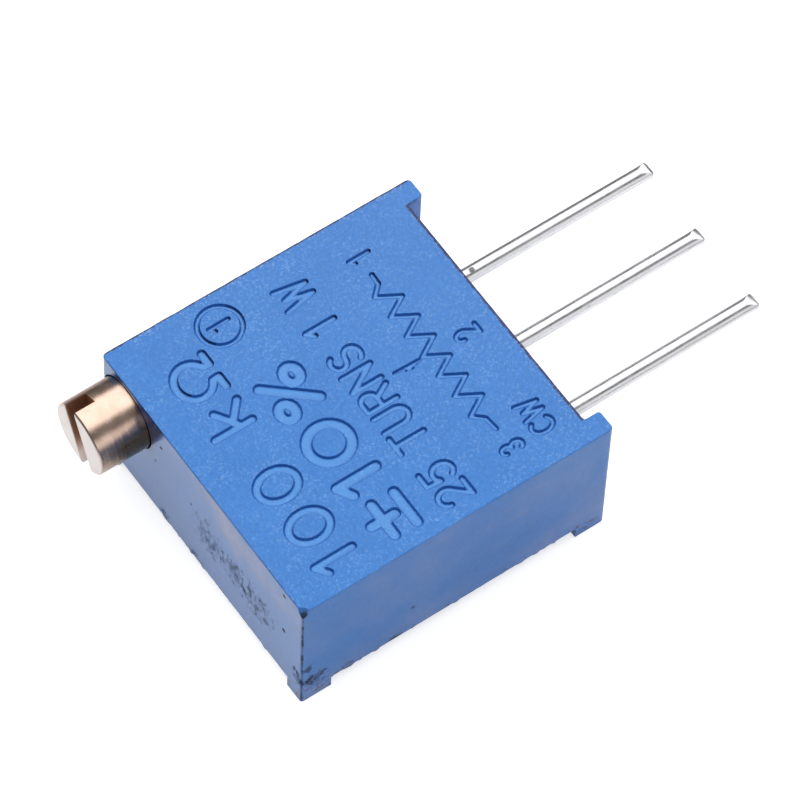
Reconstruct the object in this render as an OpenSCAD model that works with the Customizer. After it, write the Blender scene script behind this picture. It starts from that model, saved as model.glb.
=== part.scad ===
// A square multi-turn trimmer potentiometer with a worm drive.
// It lies on its back feet. X runs from the screw to the leads, Y runs across
// the row of leads, and Z is up to the marked face. Sizes are in millimetres.

/* [Body] */
// from the screw side to the ends of the standoffs
body_l = 10.03; // [9.6:0.01:14]
// across the row of leads
body_w = 9.53; // [9:0.01:14]
// from the back feet to the marked face
body_h = 4.98; // [4.8:0.01:7]
// side walls, which are also the width of the feet and the standoffs
side_wall = 0.67; // [0.5:0.01:1]
// wall on the screw side
screw_wall = 0.8; // [0.6:0.01:1.1]
// wall on the lead side
lead_wall = 0.8; // [0.6:0.01:1.2]
// wall under the marked face
face_wall = 0.7; // [0.5:0.01:0.75]
// height of the back feet
foot_h = 0.46; // [0.2:0.01:0.8]
// length of each back foot
foot_l = 0.98; // [0.5:0.01:2]
// how far the lead side steps back between the standoffs
step_back = 0.51; // [0.2:0.01:1]

/* [Screw] */
// diameter of the head
head_d = 2.19; // [1.9:0.01:2.3]
// how far the head stands out of the body
head_out = 1.56; // [1:0.01:3]
// how far the head reaches into the body
head_in = 1.15; // [1:0.01:1.2]
// axis of the screw below the marked face
screw_down = 1.27; // [1.25:0.01:1.6]
// axis of the screw in from the side of the body
screw_in = 1.24; // [1.22:0.01:1.6]
// bevel around the end of the head
head_bevel = 0.07; // [0:0.01:0.2]
// width of the driver slot
slot_w = 0.56; // [0.4:0.01:0.8]
// depth of the driver slot
slot_deep = 0.76; // [0.4:0.01:1.2]
// how far the slot is turned from upright at rest, in degrees
slot_turn = 17; // [0:1:90]
// diameter of the shaft behind the head
shaft_d = 1.8; // [1.5:0.01:1.84]
// diameter of the journal at the inner end
tail_d = 1; // [0.7:0.01:1.3]
// length of the journal inside the lead wall
tail_in = 0.33; // [0.2:0.01:0.5]
// running gap around the screw
run_gap = 0.05; // [0.02:0.01:0.08]

/* [Seal and clip] */
// thickness of the seal's cord
seal_cord = 0.42; // [0.3:0.01:0.5]
// from the screw side to the seal's groove
seal_at = 0.36; // [0.2:0.01:0.6]
// gap between the seal and the bore
seal_gap = 0.015; // [0.005:0.005:0.04]
// thickness of the retaining clip
clip_t = 0.3; // [0.2:0.01:0.4]
// width of the retaining clip
clip_w = 1.9; // [1.7:0.01:2]
// height of the clip's legs above the axis of the screw
clip_up = 0.7; // [0.5:0.01:0.9]
// diameter of the groove that the clip sits in
clip_groove_d = 1.24; // [1:0.01:1.4]
// end play between the clip and the sides of its groove
clip_play = 0.03; // [0.01:0.01:0.06]

/* [Worm and wheel] */
// turns of the screw from one end of the track to the other
screw_turns = 25; // [10:1:28]
// number of teeth on the wheel
wheel_teeth = 33; // [30:1:34]
// module of the teeth
tooth_module = 0.18; // [0.15:0.005:0.185]
// pitch diameter of the worm
worm_d = 1.48; // [1.3:0.01:1.5]
// length of the threaded part
worm_l = 5.2; // [3:0.1:5.4]
// thickness of a tooth or thread as a share of the pitch
tooth_share = 0.42; // [0.38:0.01:0.45]
// height of the toothed band
tooth_band = 0.9; // [0.6:0.05:1]
// thickness of the flange under the toothed band
flange_t = 0.24; // [0.15:0.01:0.4]
// diameter of the post that the wheel turns on
post_d = 1.2; // [0.9:0.05:1.4]
// running gap between the wheel and its post
post_gap = 0.05; // [0.02:0.01:0.09]
// free space around the tips of the wheel
pocket_gap = 0.15; // [0.1:0.01:0.4]

/* [Element] */
// thickness of the ceramic plate
ceramic_t = 0.63; // [0.4:0.01:0.8]
// gap around the edge of the ceramic plate
ceramic_gap = 0.06; // [0.02:0.01:0.15]
// thickness of the printed films
film_t = 0.02; // [0.01:0.005:0.05]
// middle radius of the resistive track
track_r = 2.3; // [2:0.05:2.5]
// width of the resistive track
track_w = 0.6; // [0.4:0.05:0.8]
// inner radius of the collector ring
ring_in = 0.72; // [0.7:0.01:0.8]
// width of the collector ring
ring_w = 0.5; // [0.3:0.05:0.7]
// space between the contacts and the films
contact_gap = 0.012; // [0.005:0.001:0.03]
// how far the potting stays below the edge of the walls
potting_in = 0.14; // [0.05:0.01:0.4]

/* [Leads] */
// distance from lead to lead
lead_pitch = 2.54; // [2:0.01:3]
// diameter of a lead
lead_d = 0.48; // [0.4:0.01:0.6]
// reach of the leads beyond the standoffs
lead_out = 6.72; // [3:0.01:14]
// axis of the leads above the back feet
lead_up = 2.47; // [2.2:0.01:2.7]
// width of the flattened inner end of a lead
tab_w = 0.62; // [0.5:0.01:0.8]
// thickness of the flattened inner end of a lead
tab_t = 0.24; // [0.15:0.01:0.3]
// length of the tab on the ceramic plate
tab_on = 1; // [0.6:0.01:1.1]

/* [Hidden] */
$fn = 64;
eps = 0.01;

// places along X, counted from the screw side
face_x = head_out - (head_out + body_l + lead_out) / 2;
lead_face = body_l - step_back;
cavity_to = lead_face - lead_wall;
clip_at = head_in + run_gap + 0.28;
wheel_x = (screw_wall + cavity_to) / 2;
worm_from = wheel_x - worm_l / 2;
bay_from = wheel_x + 1.84;

// the drive
worm_pitch = PI * tooth_module;
worm_out = worm_d / 2 + tooth_module;
worm_root = worm_d / 2 - 1.25 * tooth_module;
wheel_r = wheel_teeth * tooth_module / 2;
wheel_out = wheel_r + tooth_module;
wheel_root = wheel_r - 1.25 * tooth_module;
tooth_half = tooth_share * worm_pitch / 2;
flank = 20;
lead_tilt = atan(worm_pitch / (PI * worm_d));
half_travel = screw_turns * 360 / wheel_teeth / 2;
screw_y = body_w / 2 - screw_in;
wheel_y = screw_y - worm_d / 2 - wheel_r;

// heights above the feet
screw_z = body_h - screw_down;
ceiling = body_h - face_wall;
band_low = screw_z - tooth_band / 2;
flange_low = band_low - flange_t;
spring_t = 0.1;
spring_low = flange_low - spring_t;
tab_low = lead_up - tab_t / 2;
ledge = tab_low - film_t;
ceramic_low = ledge - ceramic_t;
film_top = tab_low;
touch = film_top + contact_gap;
bay_top = lead_up + tab_t / 2 + 0.21;

// radii around the screw
bore_r = head_d / 2 + run_gap;
trough_r = max(shaft_d / 2, worm_out) + run_gap + 0.01;
tail_hole_r = tail_d / 2 + 0.04;
seal_out = bore_r - seal_gap;
seal_floor = seal_out - seal_cord - 0.005;

// the end stop in the top of the wheel
stop_in = post_d / 2 + 0.75;
stop_out = stop_in + 0.7;
stop_deep = 0.35;
stop_half = 19;
lug_half = 180 - half_travel - stop_half - 1;

pad_from = wheel_x + track_r + track_w / 2 + 0.1;
pad_to = cavity_to - 0.17;
tab_from = cavity_to - tab_on;
track_end = half_travel + 5;

color_body = "royalblue";
color_brass = "goldenrod";
color_metal = "silver";

// moves a piece to its place along X
module at(x, y = 0, z = 0) {
    translate([face_x + x, y, z]) children();
}

// turns a solid of revolution onto the axis of the screw
module on_screw(x) {
    at(x, screw_y, screw_z) rotate([0, 90, 0]) children();
}

module rod(x0, x1, r) {
    on_screw(x0) cylinder(r = r, h = x1 - x0);
}

// a box from x0 to x1, y0 to y1 and z0 to z1
module block(x0, x1, y0, y1, z0, z1) {
    at(x0, y0, z0) cube([x1 - x0, y1 - y0, z1 - z0]);
}

// a ring or part of a ring about the centre of the wheel
module ring(r0, r1, z0, z1, from = 0, span = 360) {
    at(wheel_x, wheel_y, 0) rotate([0, 0, from]) rotate_extrude(angle = span)
        translate([r0, z0]) square([r1 - r0, z1 - z0]);
}

// a strip bent in the XZ plane, about the centre of the wheel
module strip(points, y0, y1) {
    at(wheel_x, wheel_y + y1, 0) rotate([90, 0, 0]) linear_extrude(y1 - y0) polygon(points);
}

function lead_y(i) = (2 - i) * lead_pitch;

// ---- housing

module shell() {
    half = body_w / 2;
    block(0, lead_face, -half, half, foot_h, body_h);
    for (s = [-1, 1]) {
        y0 = s < 0 ? -half : half - side_wall;
        block(lead_face - eps, body_l, y0, y0 + side_wall, foot_h, body_h);
        block(0, foot_l, y0, y0 + side_wall, 0, foot_h + eps);
        block(body_l - foot_l, body_l, y0, y0 + side_wall, 0, foot_h + eps);
    }
}

module lead_slots() {
    for (i = [1:3])
        block(cavity_to - eps, lead_face + eps, lead_y(i) - tab_w / 2 - 0.01, lead_y(i) + tab_w / 2 + 0.01,
            -1, lead_up + tab_t / 2 + 0.01);
}

module hollows() {
    half = body_w / 2 - side_wall;
    block(screw_wall, cavity_to, -half, half, -1, ledge);
    block(bay_from, cavity_to, -half, half, ledge - eps, bay_top);
    at(wheel_x, wheel_y, ledge - eps) cylinder(r = wheel_out + pocket_gap, h = ceiling - ledge + eps);
    rod(-eps, head_in + run_gap, bore_r);
    rod(head_in, cavity_to, trough_r);
    rod(cavity_to - eps, cavity_to + tail_in + 0.07, tail_hole_r);
    block(clip_at - clip_t / 2 - 0.01, clip_at + clip_t / 2 + 0.01, screw_y - clip_w / 2 - 0.01,
        screw_y + clip_w / 2 + 0.01, ledge - eps, screw_z + clip_up + 0.02);
    lead_slots();
}

module housing() {
    color(color_body) {
        difference() {
            shell();
            hollows();
        }
        at(wheel_x, wheel_y, film_top + 0.2) cylinder(d = post_d, h = ceiling - film_top - 0.2 + eps);
        ring(stop_in, stop_out, screw_z + tooth_band / 2 - stop_deep + 0.08, ceiling + eps, -stop_half, 2 * stop_half);
    }
}

// ---- screw

// radius of the thread at an axial distance from the middle of its crest
function thread_r(s) = min(worm_out, max(worm_root, worm_out - (abs(s) - crest_half) / tan(flank)));
crest_half = tooth_half - tooth_module * tan(flank);
flank_run = (worm_out - worm_root) * tan(flank);
root_at = crest_half + flank_run;
root_run = worm_pitch - 2 * root_at;
thread_steps = concat(
    [for (k = [-2:2]) k * crest_half / 2],
    [for (k = [1:3]) crest_half + k * flank_run / 3],
    [for (k = [1:3]) root_at + k * root_run / 4],
    [for (k = [0:2]) root_at + root_run + k * flank_run / 3]);

// one turn of the thread seen along the axis
module thread_section() {
    polygon([for (s = thread_steps)
        let (a = 360 * s / worm_pitch, d = s > worm_pitch / 2 ? s - worm_pitch : s)
        thread_r(d) * [cos(a), sin(a)]]);
}

module worm() {
    turns = worm_l / worm_pitch;
    on_screw(worm_from) rotate([0, 0, 90 - 360 * turns / 2])
        linear_extrude(worm_l, twist = -360 * turns, slices = ceil(16 * turns), $fn = 4) thread_section();
}

module head() {
    difference() {
        union() {
            rod(head_bevel - head_out, head_in, head_d / 2);
            on_screw(-head_out) cylinder(r1 = head_d / 2 - head_bevel, r2 = head_d / 2, h = head_bevel);
            rod(head_in - eps, worm_from, shaft_d / 2);
        }
        on_screw(seal_at) difference() {
            cylinder(r = head_d, h = seal_cord + 0.04);
            translate([0, 0, -1]) cylinder(r = seal_floor, h = seal_cord + 2.04);
        }
        on_screw(clip_at - clip_t / 2 - clip_play) difference() {
            cylinder(r = shaft_d, h = clip_t + 2 * clip_play);
            translate([0, 0, -1]) cylinder(d = clip_groove_d, h = clip_t + 2 * clip_play + 2);
        }
        at(-head_out - 1, screw_y, screw_z) rotate([-slot_turn, 0, 0]) translate([0, -slot_w / 2, -head_d])
            cube([slot_deep + 1, slot_w, 2 * head_d]);
    }
}

module adjusting_screw() {
    core = worm_root - 0.08;
    color(color_brass) {
        head();
        worm();
        rod(worm_from - 0.2, worm_from + 0.2, core);
        rod(worm_from + worm_l - 0.2, cavity_to - 0.1, core);
        rod(cavity_to - 0.3, cavity_to + tail_in, tail_d / 2);
    }
}

module screw_seal() {
    color("dimgray") on_screw(seal_at + seal_cord / 2 + 0.02) rotate_extrude()
        translate([seal_out - seal_cord / 2, 0]) circle(d = seal_cord, $fn = 32);
}

module screw_clip() {
    slot_r = clip_groove_d / 2 + 0.05;
    color(color_metal) at(clip_at - clip_t / 2, screw_y, screw_z) rotate([90, 0, 90]) linear_extrude(clip_t)
        difference() {
            translate([-clip_w / 2, ledge + 0.02 - screw_z])
                square([clip_w, screw_z + clip_up - ledge - 0.02]);
            circle(r = slot_r);
            translate([-slot_r, 0]) square([2 * slot_r, 2]);
        }
}

// ---- wheel and wiper

module wheel_section() {
    tip_half = 0.37 * tooth_half;
    root_half = 1.35 * tooth_half;
    step = 360 / wheel_teeth;
    side = [[wheel_root, root_half], [wheel_r, tooth_half], [wheel_out, tip_half]];
    polygon([for (k = [0:wheel_teeth - 1], j = [0:5])
        let (p = j < 3 ? side[j] : side[5 - j], a = 90 + k * step + (j < 3 ? -1 : 1) * asin(p[1] / p[0]))
        p[0] * [cos(a), sin(a)]]);
}

module worm_wheel() {
    swing = 2 * asin(tan(lead_tilt) * tooth_band / 4 / wheel_r) * 2;
    top = screw_z + tooth_band / 2;
    color("ivory") {
        difference() {
            union() {
                at(wheel_x, wheel_y, band_low) rotate([0, 0, -swing / 2])
                    linear_extrude(tooth_band, twist = -swing, slices = 2) wheel_section();
                ring(0, wheel_root - 0.05, flange_low, band_low + eps);
                ring(0, stop_in - 0.1, top - eps, top + 0.06);
            }
            ring(stop_in - 0.1, stop_out + 0.1, top - stop_deep, top + 1);
            at(wheel_x, wheel_y, flange_low - 1) cylinder(d = post_d + 2 * post_gap, h = body_h);
        }
        ring(stop_in - 0.1 - eps, stop_out, top - stop_deep - eps, top, 180 - lug_half, 2 * lug_half);
        for (s = [-1, 1])
            at(wheel_x, wheel_y + s * stake_y, 0) {
                translate([0, 0, spring_low - 0.05]) cylinder(r = stake_r, h = spring_t + 0.05 + eps);
                translate([0, 0, spring_low - 0.07]) cylinder(r1 = 0.15, r2 = 0.21, h = 0.07);
            }
    }
}
stake_y = 1.2;
stake_r = 0.12;

module wiper_spring() {
    hole_r = post_d / 2 + 0.2;
    color("peru") {
        difference() {
            union() {
                ring(hole_r, 1.5, spring_low, flange_low);
                strip([[-track_r + 0.25, spring_low], [-1.3, spring_low], [-1.3, flange_low],
                    [-track_r + 0.25, flange_low]], -0.55, 0.55);
            }
            for (s = [-1, 1])
                at(wheel_x, wheel_y + s * stake_y, 0) cylinder(r = stake_r + 0.005, h = body_h);
        }
        for (s = [-1, 1])
            strip([[1.3, spring_low], [1.62, spring_low - 0.04], [ring_in + 0.36, touch + 0.07],
                [ring_in + 0.28, touch + 0.1], [ring_in + 0.24, touch + 0.05], [ring_in + 0.33, touch],
                [1.7, spring_low - 0.05], [1.66, flange_low], [1.3, flange_low]],
                s * 0.16 - 0.11, s * 0.16 + 0.11);
    }
}

module wiper_brush() {
    under = spring_low - 0.06;
    color("silver") {
        strip([[-1.72, under], [-1.35, under], [-1.35, spring_low], [-1.72, spring_low]], -0.45, 0.45);
        for (k = [-2:2])
            strip([[-1.5, under + 0.01], [-1.5, spring_low - 0.01], [-1.76, spring_low - 0.01],
                [-track_r + 0.03, touch + 0.09], [-track_r - 0.13, touch + 0.15], [-track_r - 0.16, touch + 0.11],
                [-track_r + 0.02, touch], [-1.74, under + 0.01]], k * 0.11 - 0.04, k * 0.11 + 0.04);
    }
}

// ---- element

module ceramic_base() {
    half = body_w / 2 - side_wall - ceramic_gap;
    color("white")
        block(screw_wall + ceramic_gap, cavity_to - ceramic_gap, -half, half, ceramic_low, ledge);
}

module resistive_track() {
    color("darkslategray")
        ring(track_r - track_w / 2, track_r + track_w / 2, ledge, film_top, 180 - track_end, 2 * track_end);
}

module collector_ring() {
    link = 0.36;
    color("gainsboro") {
        ring(ring_in, ring_in + ring_w, ledge, film_top);
        // the link leaves the ring at the wheel's own centre line, then crosses to the middle lead
        block(wheel_x + ring_in + ring_w - 0.15, pad_from + link, wheel_y - link / 2, wheel_y + link / 2,
            ledge, film_top);
        block(pad_from, pad_from + link, min(wheel_y - link / 2, -0.42), max(wheel_y + link / 2, 0.42),
            ledge, film_top);
        block(pad_from, pad_to, -0.42, 0.42, ledge, film_top);
    }
}

// the pad of an end lead with its link to the end of the track; s is 1 or -1
module end_pad(s) {
    y = s * lead_pitch;
    a = 180 - track_end;
    edge = track_r + track_w / 2 - 0.05;
    from_wheel = [wheel_x, wheel_y];
    color("gainsboro") {
        block(pad_from, pad_to, y - 0.42, y + 0.42, ledge, film_top);
        ring(track_r - track_w / 2, track_r + track_w / 2, ledge, film_top, s > 0 ? a - 11 : -a, 11);
        at(0, 0, ledge) linear_extrude(film_t) polygon([
            from_wheel + edge * [cos(a - 2), s * sin(a - 2)], from_wheel + edge * [cos(a - 10), s * sin(a - 10)],
            [pad_from + 0.3, y - s * 0.4], [pad_from + 0.01, y + s * 0.1]]);
    }
}

module end_pad_1() { end_pad(1); }
module end_pad_3() { end_pad(-1); }

// ---- leads

module terminal(i) {
    y = lead_y(i);
    tip = body_l + lead_out;
    color(color_metal) {
        difference() {
            at(lead_face, y, lead_up) rotate([0, 90, 0]) cylinder(d = lead_d, h = tip - lead_face);
            for (s = [0, 180])
                at(tip, y, lead_up) rotate([s, 0, 0]) translate([0, 0, 0.07]) rotate([0, 28, 0])
                    translate([-1, -1, 0]) cube([2, 2, 1]);
        }
        block(tab_from, lead_face, y - tab_w / 2, y + tab_w / 2, tab_low, tab_low + tab_t);
        block(lead_face - 0.1, lead_face + 0.1, y - 0.15, y + 0.15, lead_up - 0.1, lead_up + 0.1);
    }
}

module terminal_1() { terminal(1); }
module terminal_2() { terminal(2); }
module terminal_3() { terminal(3); }

module solder(i) {
    color("lightgray") difference() {
        at(tab_from + 0.22, lead_y(i), film_top) cylinder(r1 = 0.5, r2 = 0.34, h = tab_t + 0.12);
        block(tab_from, lead_face, lead_y(i) - tab_w / 2, lead_y(i) + tab_w / 2, tab_low - 1, tab_low + tab_t);
    }
}

module solder_1() { solder(1); }
module solder_2() { solder(2); }
module solder_3() { solder(3); }

module potting() {
    low = foot_h + potting_in;
    half = body_w / 2 - side_wall;
    color("darkgoldenrod") {
        block(screw_wall, cavity_to, -half, half, low, ceramic_low);
        for (i = [1:3])
            block(cavity_to - eps, lead_face - 0.02, lead_y(i) - tab_w / 2 - 0.01, lead_y(i) + tab_w / 2 + 0.01,
                low, tab_low);
    }
}

housing();
adjusting_screw();
screw_seal();
screw_clip();
worm_wheel();
wiper_spring();
wiper_brush();
ceramic_base();
resistive_track();
collector_ring();
end_pad_1();
end_pad_3();
terminal_1();
terminal_2();
terminal_3();
solder_1();
solder_2();
solder_3();
potting();
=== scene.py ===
from functools import partial
from math import ceil, cos, degrees, pi, radians, sin
import bmesh
import bpy
from mathutils import Matrix, Vector, geometry, noise


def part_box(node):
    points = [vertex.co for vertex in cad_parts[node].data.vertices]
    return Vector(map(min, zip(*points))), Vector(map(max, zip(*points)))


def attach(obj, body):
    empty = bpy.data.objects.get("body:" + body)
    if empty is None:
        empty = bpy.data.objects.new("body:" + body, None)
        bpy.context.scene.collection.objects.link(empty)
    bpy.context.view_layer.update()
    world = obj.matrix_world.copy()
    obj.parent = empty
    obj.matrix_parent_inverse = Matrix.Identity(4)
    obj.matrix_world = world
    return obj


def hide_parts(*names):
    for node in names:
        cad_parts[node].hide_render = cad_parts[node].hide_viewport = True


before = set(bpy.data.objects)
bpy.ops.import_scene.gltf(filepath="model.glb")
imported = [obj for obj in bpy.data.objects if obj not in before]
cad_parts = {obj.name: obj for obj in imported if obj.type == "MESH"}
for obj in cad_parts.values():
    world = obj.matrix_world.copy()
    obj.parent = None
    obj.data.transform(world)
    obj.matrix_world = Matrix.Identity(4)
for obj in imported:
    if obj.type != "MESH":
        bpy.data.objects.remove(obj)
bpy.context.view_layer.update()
mm = 0.001

caseLow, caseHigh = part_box("housing")
screwLow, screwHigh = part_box("adjusting_screw")
caseCentre = (caseLow + caseHigh) / 2
screwAxis = (screwLow + screwHigh) / 2
print("frame loaded:", len(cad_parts), "nodes")


# small helpers

def linear(code):
    # an sRGB hex colour as linear RGBA
    parts = [int(code[i:i + 2], 16) / 255 for i in (1, 3, 5)]
    return [c / 12.92 if c <= 0.04045 else ((c + 0.055) / 1.055) ** 2.4 for c in parts] + [1]


def addNode(tree, kind, *inputs, **settings):
    # one node with its settings. A shader node's kind goes without its prefix, and its operation may follow
    # a dot. Inputs come in order, or in a dictionary by name or number, and a node given as an input stands
    # for its first live output
    kind, dot, operation = kind.partition(".")
    made = tree.nodes.new(kind if "Node" in kind else "ShaderNode" + kind)
    if operation:
        settings["operation"] = operation
    for name, value in settings.items():
        setattr(made, name, value)
    byKey = inputs[0] if inputs and isinstance(inputs[0], dict) else dict(enumerate(inputs))
    for key, value in byKey.items():
        if isinstance(value, bpy.types.Node):
            value = next(o for o in value.outputs if o.enabled)
        if isinstance(value, bpy.types.NodeSocket):
            tree.links.new(value, made.inputs[key])
        else:
            made.inputs[key].default_value = value
    return made


smooth = {"interpolation_type": "SMOOTHSTEP"}  # for a MapRange that starts and ends softly


def newObject(name, mesh):
    made = bpy.data.objects.new(name, mesh)
    bpy.context.scene.collection.objects.link(made)
    return made


def meshFrom(name, verts, faces):
    mesh = bpy.data.meshes.new(name)
    mesh.from_pydata([tuple(v) for v in verts], [], faces)
    mesh.update()
    return mesh


def facesBetween(rings, count, first=0):
    # the faces between rings of count points each, the first of which has this number
    return [(a + k, a + (k + 1) % count, a + count + (k + 1) % count, a + count + k)
            for a in range(first, first + (rings - 1) * count, count) for k in range(count)]


def applied(obj):
    # the object's mesh with its modifiers in it
    bpy.context.view_layer.update()
    graph = bpy.context.evaluated_depsgraph_get()
    mesh = bpy.data.meshes.new_from_object(obj.evaluated_get(graph), depsgraph=graph)
    obj.modifiers.clear()
    obj.data = mesh
    return obj


def combine(obj, other, how):
    # obj united with, cut by or kept inside another closed mesh
    step = obj.modifiers.new("combine", "BOOLEAN")
    step.operation = how
    step.solver = "MANIFOLD"
    step.object = other
    applied(obj)
    bpy.data.objects.remove(other)
    return obj


def fromWork(name, work):
    # a new object from what was built in a bmesh
    mesh = bpy.data.meshes.new(name)
    work.to_mesh(mesh)
    work.free()
    return newObject(name, mesh)


def cadCopy(node):
    # a welded copy of a CAD node, as a solid to work from
    work = bmesh.new()
    work.from_mesh(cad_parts[node].data)
    bmesh.ops.remove_doubles(work, verts=work.verts, dist=1e-7)
    return fromWork(node + "Copy", work)


def block(name, low, high):
    work = bmesh.new()
    bmesh.ops.create_cube(work, size=1)
    for v in work.verts:
        v.co = [l + (h - l) * (c + 0.5) for l, h, c in zip(low, high, v.co)]
    return fromWork(name, work)


def dress(obj, material, degrees):
    # its one material, and smooth faces with hard edges where the surface turns more than this
    work = bmesh.new()
    work.from_mesh(obj.data)
    for face in work.faces:
        face.smooth = True
    for edge in work.edges:
        if len(edge.link_faces) == 2:
            edge.smooth = edge.calc_face_angle(0) <= radians(degrees)
    work.to_mesh(obj.data)
    work.free()
    obj.data.materials.clear()
    obj.data.materials.append(material)


def bumpy(x, y, z, size, seed):
    # smooth noise from -1 to 1 with features of this size; all in mm
    return noise.noise(Vector((x, y, z)) / size + Vector((seed * 7.3, seed * 3.1, seed * 1.7)))


def newMaterial(name):
    # an empty material, what adds nodes to it, and the place in mm from which every pattern is drawn
    material = bpy.data.materials.new(name)
    material.use_nodes = True
    material.node_tree.nodes.clear()
    node = partial(addNode, material.node_tree)
    inMm = node("VectorMath.SCALE", {0: node("TexCoord").outputs["Object"], "Scale": 1000})
    return material, node, inMm


def geometryTree(name, inputs):
    # an empty Geometry Nodes tree with a mesh in and out and these inputs, each a name, a kind and a default
    tree = bpy.data.node_groups.new(name, "GeometryNodeTree")
    for title, kind, value in [("Geometry", "Geometry", None)] + inputs:
        socket = tree.interface.new_socket(title, in_out="INPUT", socket_type="NodeSocket" + kind)
        if value is not None:
            socket.default_value = value
    tree.interface.new_socket("Geometry", in_out="OUTPUT", socket_type="NodeSocketGeometry")
    node = partial(addNode, tree)
    return tree, node, node("NodeGroupInput").outputs


def runTree(obj, tree, inputs):
    # sets the tree's inputs by their identifiers and keeps the result as a plain mesh
    step = obj.modifiers.new(tree.name, "NODES")
    step.node_group = tree
    keys = {i.name: i.identifier for i in tree.interface.items_tree if i.in_out == "INPUT"}
    for name, value in inputs.items():
        step[keys[name]] = value
    applied(obj)


# camera

shot = {"azimuth": -37.202, "elevation": 59.458, "roll": 2.713, "distance": 153.23, "lens": 255.4,
        "aimRight": 1.2, "aimUp": 1.03}


def placeCamera():
    turn, lift, roll = (radians(shot[k]) for k in ("azimuth", "elevation", "roll"))
    back = Vector((sin(turn) * cos(lift), -cos(turn) * cos(lift), sin(lift)))
    right = (-back).cross(Vector((0, 0, 1))).normalized()
    up = right.cross(-back)
    across = right * cos(roll) + up * sin(roll)
    upright = up * cos(roll) - right * sin(roll)
    aim = caseCentre + (across * shot["aimRight"] + upright * shot["aimUp"]) * mm
    data = bpy.data.cameras.new("camera")
    data.lens, data.sensor_width, data.clip_start, data.clip_end = shot["lens"], 36, 0.01, 10
    camera = newObject("camera", data)
    matrix = camera.matrix_world.to_3x3()
    matrix.col[0], matrix.col[1], matrix.col[2] = across, upright, back
    camera.matrix_world = matrix.to_4x4()
    camera.location = aim + back * shot["distance"] * mm
    bpy.context.scene.camera = camera


placeCamera()
bpy.context.scene.view_settings.view_transform = "Standard"


# studio

studio = {"floorColour": "#E6E6E6", "floorSize": 1.2, "floorSeen": 0.7, "skyLow": 0.2,
          # the table's glow in what mirrors it: how much by the screw, the body and the leads, and where it
          # changes in mm from the body's middle; then what the front adds, and where it begins
          "mirrored": (0.41, 0.1, 0.32), "screwToBody": (-5.6, -4), "bodyToLeads": (6, 9),
          "front": 0.13, "frontFrom": (-5.6, -5),
          # it fades towards the back and far out: from and to in mm, then the two shares
          "backwards": (0.45, 0.89, 0), "backFade": (4, 12, 1, 0.42), "farFade": (12, 30, 1, 0.15),
          # softboxes: from and to in degrees from overhead towards +Y, and how far they reach to -X and +X
          "bands": [
              {"from": -18, "to": 57, "reach": (0.6, 0.95), "edge": 14, "level": 1.86},
              {"from": -92, "to": -53, "reach": (0.25, 0.85), "edge": 10, "level": 1.0}]}


def buildStudio():
    s = studio
    half = s["floorSize"] / 2
    corners = [(caseCentre.x + x * half, caseCentre.y + y * half, caseLow.z)
               for x, y in ((-1, -1), (1, -1), (1, 1), (-1, 1))]
    floor = newObject("floor", meshFrom("floor", corners, [(0, 1, 2, 3)]))
    material, node, place = newMaterial("paleTable")
    # lit from the front, so what shines in the metal fades towards the back
    apart = node("VectorMath.SUBTRACT", place, caseCentre / mm)
    behind = node("VectorMath.DOT_PRODUCT", apart, s["backwards"])
    fade = node("MapRange", behind, *s["backFade"], **smooth)
    reach = node("VectorMath.LENGTH", apart)
    near = node("MapRange", reach, *s["farFade"], **smooth)
    lit = node("Math.MULTIPLY", fade, near)
    path = node("LightPath").outputs
    through = node("Math.MAXIMUM", path["Is Camera Ray"], path["Is Transmission Ray"])
    seen = node("Math.MULTIPLY", through, s["floorSeen"])
    shine = node("Math.MULTIPLY", path["Is Glossy Ray"], lit)
    across, forward = node("SeparateXYZ", apart).outputs[:2]
    byScrew, byBody, byLeads = s["mirrored"]
    mirrored = node("MapRange", across, *s["screwToBody"], byScrew, byBody, **smooth)
    outer = node("MapRange", across, *s["bodyToLeads"], 0, byLeads - byBody, **smooth)
    front = node("MapRange", forward, *s["frontFrom"], 0, s["front"], **smooth)
    for part in (outer, front):
        mirrored = node("Math.ADD", mirrored, part)
    strength = node("Math.MULTIPLY_ADD", shine, mirrored, seen)
    # away from the front light the table itself is darker for what mirrors it
    dim = node("Mix", {0: path["Is Glossy Ray"], 2: 1.0, 3: lit}, data_type="FLOAT")
    colour = node("VectorMath.SCALE", {0: linear(s["floorColour"])[:3], "Scale": dim})
    both = node("AddShader", node("BsdfDiffuse", {"Color": colour}), node("Emission", {"Strength": strength}))
    node("OutputMaterial", both)
    floor.data.materials.append(material)

    # a light tent: softboxes with dark gaps between them, and a dark horizon
    world = bpy.data.worlds.new("lightTent")
    bpy.context.scene.world = world
    world.use_nodes = True
    world.node_tree.nodes.clear()
    node = partial(addNode, world.node_tree)
    parts = node("SeparateXYZ", node("TexCoord").outputs["Generated"]).outputs
    lean = node("Math.ARCTAN2", parts["Y"], parts["Z"])
    level = s["skyLow"]
    for band in s["bands"]:
        low, high, edge = (radians(band[k]) for k in ("from", "to", "edge"))
        wide = (high - low) / 2
        off = node("Math.SUBTRACT", lean, (low + high) / 2)
        off = node("Math.ABSOLUTE", off)
        patch = node("MapRange", off, wide + edge / 2, wide - edge / 2, **smooth)
        for end, side in zip(band["reach"], (-1, 1)):
            along = node("MapRange", parts["X"], side * end, side * (end - 0.1), **smooth)
            patch = node("Math.MULTIPLY", patch, along)
        level = node("Math.MULTIPLY_ADD", patch, band["level"], level)
    shown = node("Mix", {0: node("LightPath").outputs["Is Camera Ray"], 2: level, 3: 1.0}, data_type="FLOAT")
    node("OutputWorld", node("Background", {"Strength": shown}))


buildStudio()
print("camera and studio ready")


# a plain finish, for what is hardly seen

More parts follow.
